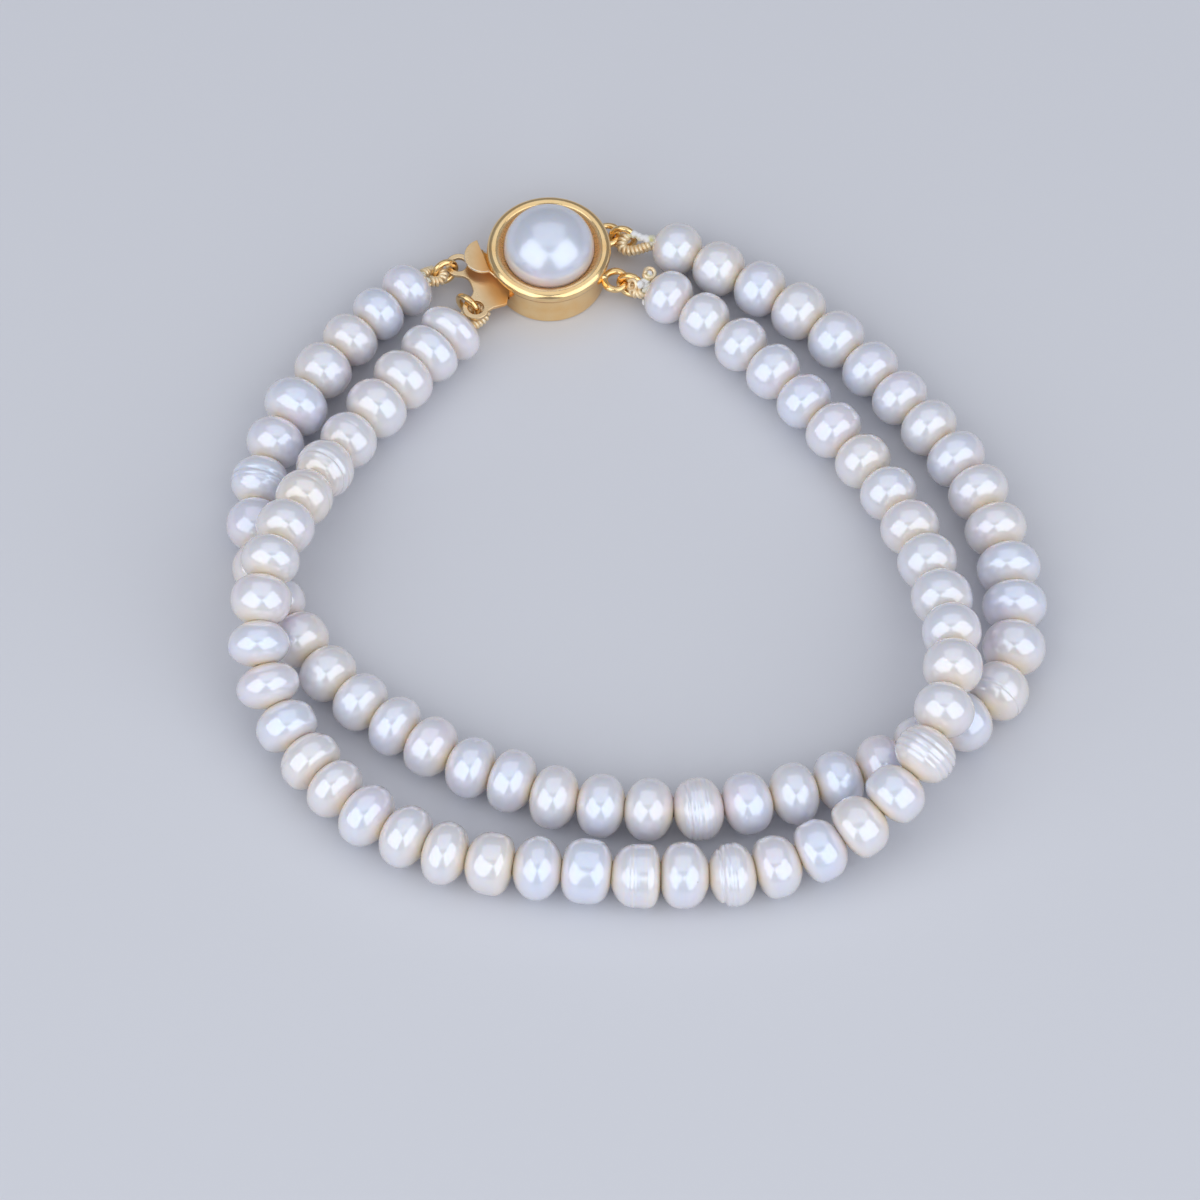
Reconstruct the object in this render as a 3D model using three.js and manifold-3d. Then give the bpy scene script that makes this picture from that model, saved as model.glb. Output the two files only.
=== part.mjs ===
// Two-strand pearl bracelet on a round box clasp with a half pearl, lying on a flat surface.
// Millimetres, +Z up, +X right, +Y away from the wearer. The pearls and the clasp rest on z = 0.
import * as THREE from 'three';
import Module from 'manifold-3d';
import { mergeVertices } from 'three/addons/utils/BufferGeometryUtils.js';

const wasm = await Module();
wasm.setup();

const DEGREE = Math.PI / 180;
const UP = new THREE.Vector3(0, 0, 1);

// The two strands of button pearls. A row stands for one measured pearl: where its drill hole
// crosses its middle (x, y), how high the pearl is held above the surface (lift), its diameter,
// and how many pearls lie from this row to the next. The over strand climbs across the under
// strand at the left and again at the right.
const OVER_STRAND = [
  { x: -13.5, y: 26.4, lift: 0.0, diameter: 5.0, pearls: 2 },
  { x: -17.6, y: 21.4, lift: 0.0, diameter: 5.2, pearls: 2 },
  { x: -22.4, y: 14.8, lift: 0.5, diameter: 5.2, pearls: 2 },
  { x: -26.1, y: 6.9, lift: 3.4, diameter: 5.2, pearls: 2 },
  { x: -28.9, y: -0.8, lift: 5.3, diameter: 5.2, pearls: 2 },
  { x: -29.8, y: -8.4, lift: 3.5, diameter: 5.3, pearls: 2 },
  { x: -27.4, y: -14.9, lift: 0.7, diameter: 5.5, pearls: 3 },
  { x: -20.3, y: -23.6, lift: 0.0, diameter: 5.6, pearls: 3 },
  { x: -9.6, y: -28.4, lift: 0.0, diameter: 5.6, pearls: 3 },
  { x: 3.1, y: -29.7, lift: 0.0, diameter: 5.7, pearls: 3 },
  { x: 15.3, y: -28.7, lift: 0.0, diameter: 5.5, pearls: 2 },
  { x: 22.6, y: -25.6, lift: 1.8, diameter: 5.4, pearls: 2 },
  { x: 28.1, y: -20.2, lift: 4.7, diameter: 5.3, pearls: 2 },
  { x: 30.7, y: -11.6, lift: 5.2, diameter: 5.3, pearls: 2 },
  { x: 30.0, y: -3.0, lift: 2.6, diameter: 5.4, pearls: 3 },
  { x: 25.6, y: 9.4, lift: 0.2, diameter: 5.2, pearls: 3 },
  { x: 18.3, y: 19.2, lift: 0.0, diameter: 5.2, pearls: 2 },
  { x: 12.7, y: 25.3, lift: 0.0, diameter: 5.1, pearls: 2 },
  { x: 6.2, y: 30.5, lift: 0.0, diameter: 4.8, pearls: 0 },
];
const UNDER_STRAND = [
  { x: -17.4, y: 31.3, lift: 0.0, diameter: 4.9, pearls: 2 },
  { x: -22.4, y: 25.9, lift: 0.0, diameter: 5.1, pearls: 2 },
  { x: -27.2, y: 18.4, lift: 0.0, diameter: 5.6, pearls: 2 },
  { x: -30.2, y: 10.7, lift: 0.0, diameter: 5.2, pearls: 2 },
  { x: -29.9, y: 1.7, lift: 0.0, diameter: 5.2, pearls: 3 },
  { x: -23.8, y: -9.2, lift: 0.0, diameter: 5.2, pearls: 3 },
  { x: -14.9, y: -16.6, lift: 0.0, diameter: 5.4, pearls: 3 },
  { x: -4.0, y: -21.8, lift: 0.0, diameter: 5.5, pearls: 3 },
  { x: 8.6, y: -23.0, lift: 0.0, diameter: 5.6, pearls: 3 },
  { x: 20.7, y: -20.2, lift: 0.0, diameter: 5.5, pearls: 2 },
  { x: 27.9, y: -16.6, lift: 0.0, diameter: 5.3, pearls: 2 },
  { x: 34.9, y: -11.0, lift: 0.0, diameter: 5.4, pearls: 2 },
  { x: 36.5, y: -2.3, lift: 0.0, diameter: 5.7, pearls: 3 },
  { x: 33.6, y: 9.5, lift: 0.0, diameter: 5.5, pearls: 3 },
  { x: 26.8, y: 19.6, lift: 0.0, diameter: 5.2, pearls: 3 },
  { x: 17.8, y: 28.9, lift: 0.0, diameter: 5.3, pearls: 3 },
  { x: 7.0, y: 35.8, lift: 0.0, diameter: 4.8, pearls: 0 },
];

// A button pearl's section along the drill hole: flattened ends and a full, round belly.
const PEARL_SIDES = 12;
const THREAD_RADIUS = 0.5;
const PEARL_RINGS = [
  { along: -0.8, width: 0.68 },
  { along: -0.28, width: 1.0 },
  { along: 0.28, width: 1.0 },
  { along: 0.8, width: 0.68 },
];

// Clasp: a round box with a rolled rim, two loops soldered to its right, and a slot at its left.
const CLASP = { x: -4.6, y: 34.55 };
const BOX_RADIUS = 5.1;
const BOX_WALL = 0.5;
const BOX_FLOOR = 0.5;
const CAVITY_TOP = 3.25;
const SEAT_RADIUS = 4.3;
const SEAT_HEIGHT = 3.7;
const RIM_RADIUS = 5.6;
const RIM_TOP = 4.75;
const CLASP_SIDES = 36;
const LOOP_TURN = 8.3;
const LOOP_SPREAD = 23.6;
const LOOP_DISTANCE = 6.25;
const LOOP_HEIGHT = 1.6;
const LOOP_RADIUS = 1.0;
const LOOP_WIRE = 0.27;

// Half pearl set in the box.
const HALF_PEARL_RADIUS = 4.0;
const HALF_PEARL_BASE = 4.0;
const HALF_PEARL_RISE = 4.1;

// Tongue: a sheet with two eyes, folded back inside the box to a sprung leaf that ends in a thumb
// tab. The tongue's own +X points out of the box, to the left.
const TONGUE_TURN = 198.7;
const SHEET = 0.4;
const PLATE_BOTTOM = 1.6;
const EYE_OUT = 7.8;
const EYE_ASIDE = 2.46;
const EYE_RADIUS = 1.2;
const EYE_HOLE = 0.72;
const PLATE_HALF_WIDTH = 2.95;
const PLATE_NECK = 2.15;
const PLATE_END = 7.45;
const SHOULDER_OUT = 5.1;
const FOLD_OUT = -3.0;
const LEAF_BOTTOM = 2.65;
const LEAF_SHEET = 0.3;
const LEAF_ASIDE = -0.7;
const LEAF_HALF_WIDTH = 1.5;
const TAB_OUT = 5.6;
const TAB_ASIDE = -1.95;
const TAB_HALF_LENGTH = 1.78;
const TAB_REACH = 1.75;
const TAB_BOTTOM = 2.8;
const TAB_SHEET = 0.35;
const SLOT_HALF_WIDTH = 2.5;
const SLOT_BOTTOM = 1.25;

// Jump rings, and the wire-covered thread loops that tie the first pearls to them.
const RING_RADIUS = 1.05;
const RING_WIRE = 0.22;
const RING_SIDES = 14;
const RING_REACH = 1.42;
const BULLION_RADIUS = 0.38;
const BULLION_SIDES = 8;
const BULLION_STEPS = 14;
const BULLION_TURN = 0.8;
const BULLION_CLOSE = 0.46;
const BULLION_TAPER = 1.2;
const END_GAP = 0.5;
const REST_CLEARANCE = 0.04;

const pearlFinish = new THREE.MeshStandardMaterial({ color: 0xe8e3e0, roughness: 0.22, metalness: 0 });
const halfPearlFinish = new THREE.MeshStandardMaterial({ color: 0xdedfe8, roughness: 0.2, metalness: 0 });
const goldFinish = new THREE.MeshStandardMaterial({ color: 0xd8a452, roughness: 0.18, metalness: 1 });
const bullionFinish = new THREE.MeshStandardMaterial({ color: 0xcdb083, roughness: 0.35, metalness: 1 });

// The middle of each pearl and its diameter, spread evenly between the rows of a strand's table.
function layPearls(rows) {
  const points = rows.map((row) => new THREE.Vector3(row.x, row.y, row.lift));
  const route = new THREE.CatmullRomCurve3(points, false, 'centripetal');
  const pearls = [];
  rows.forEach((row, index) => {
    const next = rows[index + 1] ?? row;
    const count = Math.max(row.pearls, 1);
    for (let step = 0; step < count; step += 1) {
      const share = step / count;
      const diameter = THREE.MathUtils.lerp(row.diameter, next.diameter, share);
      const middle = route.getPoint((index + share) / (rows.length - 1));
      middle.z = diameter / 2 + Math.max(middle.z, 0) + REST_CLEARANCE;
      pearls.push({ middle, radius: diameter / 2 });
    }
  });
  return pearls;
}

// A ring of corners square to a direction, with one corner at its lowest point.
function ringOfCorners(centre, direction, radius) {
  const top = UP.clone().addScaledVector(direction, -direction.z).normalize();
  const side = new THREE.Vector3().crossVectors(direction, top);
  const corners = [];
  for (let corner = 0; corner < PEARL_SIDES; corner += 1) {
    const angle = (corner / PEARL_SIDES) * 2 * Math.PI;
    corners.push(centre.clone()
      .addScaledVector(top, radius * Math.cos(angle))
      .addScaledVector(side, radius * Math.sin(angle)));
  }
  return corners;
}

// A whole strand as one body: pearl after pearl, with the knotted thread as the neck between two.
function strandGeometry(pearls) {
  const last = pearls.length - 1;
  const gapAfter = pearls.map((pearl, index) => (index < last
    ? pearls[index + 1].middle.clone().sub(pearl.middle)
    : pearl.middle.clone().sub(pearls[index - 1].middle)));
  const rings = [];
  pearls.forEach((pearl, index) => {
    const before = gapAfter[Math.max(index - 1, 0)];
    const after = gapAfter[index];
    const direction = before.clone().normalize().add(after.clone().normalize()).normalize();
    const neck = pearl.middle.clone().addScaledVector(index ? before : direction.clone()
      .multiplyScalar(before.length()), -0.5);
    rings.push(ringOfCorners(neck, before.clone().normalize(), THREAD_RADIUS));
    PEARL_RINGS.forEach((ring) => {
      const half = (ring.along < 0 ? before : after).length() / 2;
      const centre = pearl.middle.clone().addScaledVector(direction, ring.along * half);
      rings.push(ringOfCorners(centre, direction, pearl.radius * ring.width));
    });
  });
  const end = pearls[last].middle.clone().addScaledVector(gapAfter[last], 0.5);
  rings.push(ringOfCorners(end, gapAfter[last].clone().normalize(), THREAD_RADIUS));

  const positions = rings.flat().flatMap((corner) => corner.toArray());
  const triangles = [];
  for (let ring = 0; ring < rings.length - 1; ring += 1) {
    for (let corner = 0; corner < PEARL_SIDES; corner += 1) {
      const nextCorner = (corner + 1) % PEARL_SIDES;
      const low = ring * PEARL_SIDES + corner;
      const lowNext = ring * PEARL_SIDES + nextCorner;
      triangles.push(low, lowNext, lowNext + PEARL_SIDES, low, lowNext + PEARL_SIDES, low + PEARL_SIDES);
    }
  }
  const first = (rings.length - 1) * PEARL_SIDES;
  for (let corner = 1; corner < PEARL_SIDES - 1; corner += 1) {
    triangles.push(0, corner + 1, corner, first, first + corner, first + corner + 1);
  }
  const geometry = new THREE.BufferGeometry();
  geometry.setAttribute('position', new THREE.Float32BufferAttribute(positions, 3));
  geometry.setIndex(triangles);
  geometry.computeVertexNormals();
  return geometry;
}

// A closed mesh with its shared corners merged, as a solid that can be joined and cut.
function toSolid(geometry) {
  const bare = geometry.clone();
  bare.deleteAttribute('normal');
  bare.deleteAttribute('uv');
  const merged = mergeVertices(bare, 1e-4);
  return new wasm.Manifold(new wasm.Mesh({
    numProp: 3,
    vertProperties: new Float32Array(merged.attributes.position.array),
    triVerts: new Uint32Array(merged.index.array),
  }));
}

function toGeometry(solid) {
  const mesh = solid.getMesh();
  const geometry = new THREE.BufferGeometry();
  geometry.setAttribute('position', new THREE.BufferAttribute(new Float32Array(mesh.vertProperties), 3));
  geometry.setIndex(new THREE.BufferAttribute(new Uint32Array(mesh.triVerts), 1));
  geometry.computeVertexNormals();
  return geometry;
}

// A turned shape about +Z from its half section, listed as [radius, height] from base to top.
function turned(section, sides = CLASP_SIDES) {
  const points = section.map(([radius, height]) => new THREE.Vector2(radius, height));
  return new THREE.LatheGeometry(points, sides).rotateX(Math.PI / 2);
}

function block(lowX, highX, lowY, highY, lowZ, highZ) {
  return new THREE.BoxGeometry(highX - lowX, highY - lowY, highZ - lowZ)
    .translate((lowX + highX) / 2, (lowY + highY) / 2, (lowZ + highZ) / 2);
}

function flatSheet(shape, bottom, thickness, curveSegments = 12) {
  return new THREE.ExtrudeGeometry(shape, { depth: thickness, bevelEnabled: false, curveSegments })
    .translate(0, 0, bottom);
}

// Box, rolled rim and soldered loops, one piece of plated metal, in the clasp's own frame.
function claspBoxGeometry() {
  const cup = toSolid(turned([
    [0, 0], [BOX_RADIUS - 0.2, 0], [BOX_RADIUS, 0.2], [BOX_RADIUS, 3.15],
    [RIM_RADIUS - 0.2, 3.4], [RIM_RADIUS, 3.85], [RIM_RADIUS - 0.08, 4.3], [RIM_RADIUS - 0.4, 4.65],
    [RIM_RADIUS - 0.75, RIM_TOP], [SEAT_RADIUS + 0.15, 4.6], [SEAT_RADIUS, 4.25],
    [SEAT_RADIUS, SEAT_HEIGHT], [0, SEAT_HEIGHT],
  ]));
  const cavity = toSolid(turned([
    [0, BOX_FLOOR], [BOX_RADIUS - BOX_WALL, BOX_FLOOR], [BOX_RADIUS - BOX_WALL, CAVITY_TOP], [0, CAVITY_TOP],
  ]));
  const slot = toSolid(block(3.5, BOX_RADIUS + 1, -SLOT_HALF_WIDTH, SLOT_HALF_WIDTH, SLOT_BOTTOM, CAVITY_TOP)
    .rotateZ(TONGUE_TURN * DEGREE));
  let solid = cup.subtract(cavity).subtract(slot);
  loopPlaces().forEach(({ x, y }) => {
    const loop = new THREE.TorusGeometry(LOOP_RADIUS, LOOP_WIRE, 6, RING_SIDES);
    solid = solid.add(toSolid(loop.translate(x, y, LOOP_HEIGHT)));
  });
  return toGeometry(solid);
}

// The middles of the two soldered loops, away side first, from the clasp's centre.
function loopPlaces() {
  return [1, -1].map((side) => {
    const angle = (LOOP_TURN + side * LOOP_SPREAD) * DEGREE;
    return { x: LOOP_DISTANCE * Math.cos(angle), y: LOOP_DISTANCE * Math.sin(angle) };
  });
}

function halfPearlGeometry() {
  const rings = 6;
  const section = [[0, HALF_PEARL_BASE], [HALF_PEARL_RADIUS, HALF_PEARL_BASE]];
  for (let ring = 1; ring < rings; ring += 1) {
    const angle = (ring / rings) * 0.5 * Math.PI;
    section.push([HALF_PEARL_RADIUS * Math.cos(angle), HALF_PEARL_BASE + HALF_PEARL_RISE * Math.sin(angle)]);
  }
  section.push([0, HALF_PEARL_BASE + HALF_PEARL_RISE]);
  return turned(section, 28);
}

// The tongue's lower sheet: a plate that widens to two eyes, and the upright of its fold.
function tongueGeometry() {
  const plate = new THREE.Shape();
  plate.moveTo(FOLD_OUT, -1.9);
  plate.lineTo(SHOULDER_OUT - 0.35, -PLATE_NECK);
  plate.lineTo(SHOULDER_OUT, -PLATE_HALF_WIDTH);
  plate.lineTo(PLATE_END, -PLATE_HALF_WIDTH);
  plate.lineTo(PLATE_END, PLATE_HALF_WIDTH);
  plate.lineTo(SHOULDER_OUT, PLATE_HALF_WIDTH);
  plate.lineTo(SHOULDER_OUT - 0.35, PLATE_NECK);
  plate.lineTo(FOLD_OUT, 1.9);
  plate.closePath();
  let solid = toSolid(flatSheet(plate, PLATE_BOTTOM, SHEET));
  const eyes = [-EYE_ASIDE, EYE_ASIDE];
  eyes.forEach((aside) => {
    const disc = new THREE.Shape().absarc(EYE_OUT, aside, EYE_RADIUS, 0, 2 * Math.PI);
    solid = solid.add(toSolid(flatSheet(disc, PLATE_BOTTOM, SHEET, 9)));
  });
  eyes.forEach((aside) => {
    const hole = new THREE.Shape().absarc(EYE_OUT, aside, EYE_HOLE, 0, 2 * Math.PI);
    solid = solid.subtract(toSolid(flatSheet(hole, PLATE_BOTTOM - 1, SHEET + 2, 6)));
  });
  const fold = block(FOLD_OUT - SHEET, FOLD_OUT + 0.1, -1.8, 1.8, PLATE_BOTTOM, LEAF_BOTTOM - 0.35);
  return toGeometry(solid.add(toSolid(fold)));
}

// The sprung leaf and its thumb tab, a half moon that stands out beside the box.
function leafGeometry() {
  const strip = block(FOLD_OUT - SHEET, TAB_OUT + 0.2, LEAF_ASIDE - LEAF_HALF_WIDTH,
    LEAF_ASIDE + LEAF_HALF_WIDTH, LEAF_BOTTOM, LEAF_BOTTOM + LEAF_SHEET);
  const moon = new THREE.Shape()
    .absellipse(TAB_OUT, TAB_ASIDE, TAB_REACH, TAB_HALF_LENGTH, -Math.PI / 2, Math.PI / 2);
  const tab = flatSheet(moon, TAB_BOTTOM, TAB_SHEET);
  return toGeometry(toSolid(strip).add(toSolid(tab)));
}

// A ring or a loop in a plane given by its middle and two square directions.
function placed(geometry, middle, first, second) {
  const third = new THREE.Vector3().crossVectors(first, second);
  const frame = new THREE.Matrix4().makeBasis(first, second, third).setPosition(middle);
  return geometry.applyMatrix4(frame);
}

function jumpRingGeometry(middle, outward, upward) {
  return placed(new THREE.TorusGeometry(RING_RADIUS, RING_WIRE, 6, RING_SIDES), middle, outward, upward);
}

function bullionGeometry(points) {
  const section = new THREE.Shape();
  for (let side = 0; side < BULLION_SIDES; side += 1) {
    const angle = (side / BULLION_SIDES) * 2 * Math.PI;
    const corner = [BULLION_RADIUS * Math.cos(angle), BULLION_RADIUS * Math.sin(angle)];
    if (side) section.lineTo(...corner); else section.moveTo(...corner);
  }
  const route = new THREE.CatmullRomCurve3(points, false, 'centripetal');
  return new THREE.ExtrudeGeometry(section, { steps: BULLION_STEPS, extrudePath: route });
}

// A ring pulled straight from its hole towards the strand, with the covered thread looped round
// the ring's far side. The ring leans by tilt degrees about the line of pull.
function pulledLink(hole, pearls, tilt) {
  const [endPearl, nextPearl] = pearls;
  const face = endPearl.middle.clone().lerp(nextPearl.middle, -0.5);
  const pull = new THREE.Vector3(face.x - hole.x, face.y - hole.y, 0);
  const outward = pull.clone().normalize();
  const upward = UP.clone().applyAxisAngle(outward, tilt * DEGREE);
  const across = new THREE.Vector3().crossVectors(outward, upward);
  const middle = hole.clone().addScaledVector(outward, RING_REACH);
  const farSide = RING_REACH + RING_RADIUS;
  const legEnd = pull.length() - END_GAP;
  const close = Math.min((legEnd - farSide) / BULLION_TAPER, 1);
  const spread = THREE.MathUtils.lerp(BULLION_TURN, BULLION_CLOSE, close);
  const rise = (face.z - hole.z) * 0.6;
  const at = (out, aside, lift) => hole.clone().addScaledVector(outward, out)
    .addScaledVector(across, aside).addScaledVector(UP, lift);
  const bend = [-60, -30, 0, 30, 60].map((degrees) => at(
    farSide - BULLION_TURN * Math.cos(degrees * DEGREE), BULLION_TURN * Math.sin(degrees * DEGREE), 0));
  const points = [at(legEnd, -spread, rise), at(farSide, -BULLION_TURN, 0), ...bend,
    at(farSide, BULLION_TURN, 0), at(legEnd, spread, rise)];
  return { ring: jumpRingGeometry(middle, outward, upward), bullion: bullionGeometry(points) };
}

// The ring that hangs through the near eye of the tongue. Its thread loop passes under the plate.
function hangingLink(hole) {
  const outward = new THREE.Vector3(Math.cos(140 * DEGREE), Math.sin(140 * DEGREE), 0);
  const towardStrand = new THREE.Vector3(Math.cos(232 * DEGREE), Math.sin(232 * DEGREE), 0);
  const ringHeight = RING_RADIUS + RING_WIRE + 0.05;
  const middle = hole.clone().addScaledVector(outward, 0.95).setZ(ringHeight);
  const low = 1.02;
  const at = (out, toward, height) => hole.clone().addScaledVector(outward, out)
    .addScaledVector(towardStrand, toward).setZ(height);
  const limb = -0.06;
  const bend = [-60, -20, 20, 60].map((degrees) => at(
    limb - BULLION_TURN * Math.sin(degrees * DEGREE), -BULLION_TURN * Math.cos(degrees * DEGREE), low));
  const points = [at(0.5, 1.5, low + 0.1), at(limb + BULLION_TURN, 0.2, low), ...bend,
    at(limb - BULLION_TURN, 0.2, low), at(-0.6, 1.5, low + 0.1)];
  return { ring: jumpRingGeometry(middle, outward, UP.clone()), bullion: bullionGeometry(points) };
}

const model = new THREE.Group();

function addNode(name, geometry, finish) {
  const mesh = new THREE.Mesh(geometry, finish);
  mesh.name = name;
  model.add(mesh);
  return mesh;
}

const overPearls = layPearls(OVER_STRAND);
const underPearls = layPearls(UNDER_STRAND);
addNode('pearls_over', strandGeometry(overPearls), pearlFinish);
addNode('pearls_under', strandGeometry(underPearls), pearlFinish);

const claspMiddle = new THREE.Vector3(CLASP.x, CLASP.y, 0);
addNode('clasp_box', claspBoxGeometry(), goldFinish).position.copy(claspMiddle);
addNode('half_pearl', halfPearlGeometry(), halfPearlFinish).position.copy(claspMiddle);
const tongue = addNode('clasp_tongue', tongueGeometry(), goldFinish);
const leaf = addNode('tongue_leaf', leafGeometry(), goldFinish);
[tongue, leaf].forEach((mesh) => {
  mesh.position.copy(claspMiddle);
  mesh.rotation.z = TONGUE_TURN * DEGREE;
});

const eyeMiddle = (aside) => new THREE.Vector3(EYE_OUT, aside, PLATE_BOTTOM + SHEET / 2)
  .applyAxisAngle(UP, TONGUE_TURN * DEGREE).add(claspMiddle);
const loopMiddle = ({ x, y }) => new THREE.Vector3(x, y, LOOP_HEIGHT).add(claspMiddle);
const [awayLoop, nearLoop] = loopPlaces().map(loopMiddle);
const lastTwo = (pearls) => [pearls.at(-1), pearls.at(-2)];
const links = {
  left_away: pulledLink(eyeMiddle(-EYE_ASIDE), underPearls, 14),
  left_near: hangingLink(eyeMiddle(EYE_ASIDE)),
  right_away: pulledLink(awayLoop, lastTwo(underPearls), -15),
  right_near: pulledLink(nearLoop, lastTwo(overPearls), -15),
};
Object.entries(links).forEach(([place, link]) => {
  addNode(`jump_ring_${place}`, link.ring, goldFinish);
  addNode(`bullion_${place}`, link.bullion, bullionFinish);
});

// The origin is the middle of the footprint, on the surface.
const bounds = new THREE.Box3().setFromObject(model, true);
const centre = bounds.getCenter(new THREE.Vector3());
model.position.set(-centre.x, -centre.y, -bounds.min.z);

export default model;
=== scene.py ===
# Looks of the two-strand pearl bracelet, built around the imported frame.
import math

import bpy
import numpy as np
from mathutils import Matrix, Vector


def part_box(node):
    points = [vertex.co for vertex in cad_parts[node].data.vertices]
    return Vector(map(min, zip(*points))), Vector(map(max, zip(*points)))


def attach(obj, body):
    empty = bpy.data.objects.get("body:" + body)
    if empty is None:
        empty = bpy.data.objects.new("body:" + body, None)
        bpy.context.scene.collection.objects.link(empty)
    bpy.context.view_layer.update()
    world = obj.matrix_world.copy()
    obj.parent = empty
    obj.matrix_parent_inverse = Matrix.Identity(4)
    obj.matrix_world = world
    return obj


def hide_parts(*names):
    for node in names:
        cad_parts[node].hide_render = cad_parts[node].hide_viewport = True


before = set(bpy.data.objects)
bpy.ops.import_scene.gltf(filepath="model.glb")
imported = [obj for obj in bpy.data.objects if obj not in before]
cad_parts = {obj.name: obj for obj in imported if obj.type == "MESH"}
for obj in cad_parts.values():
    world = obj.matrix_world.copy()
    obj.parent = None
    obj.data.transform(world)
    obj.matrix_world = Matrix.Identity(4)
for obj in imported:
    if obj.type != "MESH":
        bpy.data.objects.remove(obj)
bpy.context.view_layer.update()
mm = 0.001
up = np.array([0.0, 0.0, 1.0])
rootBody = "bracelet"
tabBody = "thumb_tab"
print("frame loaded")


# Fixed places of the solids, in millimetres, before the origin moves to the middle of the footprint
clasp = {"x": -4.6, "y": 34.55, "boxRadius": 5.1, "wall": 0.5, "floor": 0.5, "cavityTop": 3.25,
         "seatHeight": 3.7, "loopTurn": 8.3, "loopSpread": 23.6, "loopDistance": 6.25,
         "loopHeight": 1.6, "loopRadius": 1.0, "loopWire": 0.31, "lug": (1.35, 0.72),
         "lugWire": (0.42, 0.42, 0.40, 0.36, 0.32, 0.28, 0.22, 0.1)}
halfPearlLow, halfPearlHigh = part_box("half_pearl")
shift = np.array([(halfPearlLow[0] + halfPearlHigh[0]) / 2 / mm - clasp["x"],
                  (halfPearlLow[1] + halfPearlHigh[1]) / 2 / mm - clasp["y"], 0.0])
claspMiddle = np.array([clasp["x"], clasp["y"], 0.0]) + shift


# Mesh helpers
def unit(vectors):
    # each vector divided by its own length
    return vectors / np.linalg.norm(vectors, axis=-1, keepdims=True)


def turnAbout(vector, axis, degrees):
    # Rodrigues: v cos t + (k x v) sin t + k (k.v)(1 - cos t)
    angle = math.radians(degrees)
    return (vector * math.cos(angle) + np.cross(axis, vector) * math.sin(angle)
            + axis * np.dot(axis, vector) * (1 - math.cos(angle)))


def level(degrees):
    # a level direction, turned from +X
    return np.array([math.cos(math.radians(degrees)), math.sin(math.radians(degrees)), 0.0])


def gridFaces(rows, columns, wrapRows=False):
    # quads of a grid whose columns close on themselves: corner (i, j) is i * columns + j
    i, j = np.meshgrid(np.arange(rows if wrapRows else rows - 1), np.arange(columns), indexing="ij")
    nextRow, nextColumn = (i + 1) % rows, (j + 1) % columns
    quads = np.stack([i * columns + j, i * columns + nextColumn,
                      nextRow * columns + nextColumn, nextRow * columns + j], axis=-1)
    return quads.reshape(-1, 4)


def closedEnds(points, poles, columns):
    # rows of points round an axis, with triangles from the first and the last row to two poles
    points = points.reshape(-1, 3)
    firstPole, lastRow = len(points), len(points) - columns
    j = np.arange(columns)
    nextColumn = (j + 1) % columns
    first = np.stack([np.full(columns, firstPole), nextColumn, j], axis=-1)
    last = np.stack([np.full(columns, firstPole + 1), lastRow + j, lastRow + nextColumn], axis=-1)
    quads = gridFaces(len(points) // columns, columns)
    return np.vstack([points, poles]), quads, np.vstack([first, last])


def joinParts(parts):
    # puts several (points, quads, triangles) together and renumbers their corners
    points, quads, triangles, start = [], [], [], 0
    for partPoints, partQuads, partTriangles in parts:
        points.append(partPoints)
        quads.append(partQuads + start)
        triangles.append(partTriangles + start)
        start += len(partPoints)
    return np.vstack(points), np.vstack(quads), np.vstack(triangles)


def linked(name, data):
    # a new object, put into the scene
    made = bpy.data.objects.new(name, data)
    bpy.context.scene.collection.objects.link(made)
    return made


def asObject(name, part):
    points, quads, triangles = part
    mesh = bpy.data.meshes.new(name)
    mesh.from_pydata((points * mm).tolist(), [], quads.tolist() + triangles.tolist())
    return linked(name, mesh)


def smoothAll(piece):
    faces = piece.data.polygons
    faces.foreach_set("use_smooth", np.ones(len(faces), dtype=bool))


def addPiece(name, part, finish, body=rootBody, replaced=(), values=None):
    piece = asObject(name, part)
    smoothAll(piece)
    for label, column in (values or {}).items():
        attribute = piece.data.attributes.new(label, "FLOAT", "POINT")
        attribute.data.foreach_set("value", column.astype(np.float32))
    settlePiece(piece, finish, body, replaced)
    return piece


def settlePiece(piece, finish, body=rootBody, replaced=()):
    piece.data.materials.clear()
    piece.data.materials.append(finish)
    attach(piece, body)
    if replaced:
        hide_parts(*replaced)


noTriangles = np.zeros((0, 3), dtype=int)


def turnedPart(section, sides=128):
    # a half section (radius, height), first and last row on the axis, turned about the clasp's middle
    section = np.asarray(section, dtype=float)
    inner = section[1:-1]
    angle = np.linspace(0, 2 * np.pi, sides, endpoint=False)
    points = np.stack([inner[:, :1] * np.cos(angle), inner[:, :1] * np.sin(angle),
                       np.repeat(inner[:, 1:], sides, axis=1)], axis=-1)
    poles = np.array([[0, 0, section[0, 1]], [0, 0, section[-1, 1]]])
    return closedEnds(points + claspMiddle, poles + claspMiddle, sides)


def carriedFrames(path):
    # tangent, and two square directions carried along the path with the least turning
    tangent = unit(np.gradient(path, axis=0))
    seed = np.array([0.0, 0.0, 1.0]) if abs(tangent[0][2]) < 0.9 else np.array([1.0, 0.0, 0.0])
    first = unit(np.cross(tangent[0], seed))
    carried = [first]
    for step in tangent[1:]:
        first = unit(first - step * np.dot(first, step))
        carried.append(first)
    carried = np.array(carried)
    return tangent, carried, np.cross(tangent, carried)


def roundSections(centres, width, first, second, sides):
    # c + r (cos a first + sin a second) at every centre c
    angle = np.linspace(0, 2 * np.pi, sides, endpoint=False)[None, :, None]
    spokes = np.cos(angle) * first[:, None] + np.sin(angle) * second[:, None]
    return (centres[:, None] + width * spokes).reshape(-1, 3)


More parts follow.
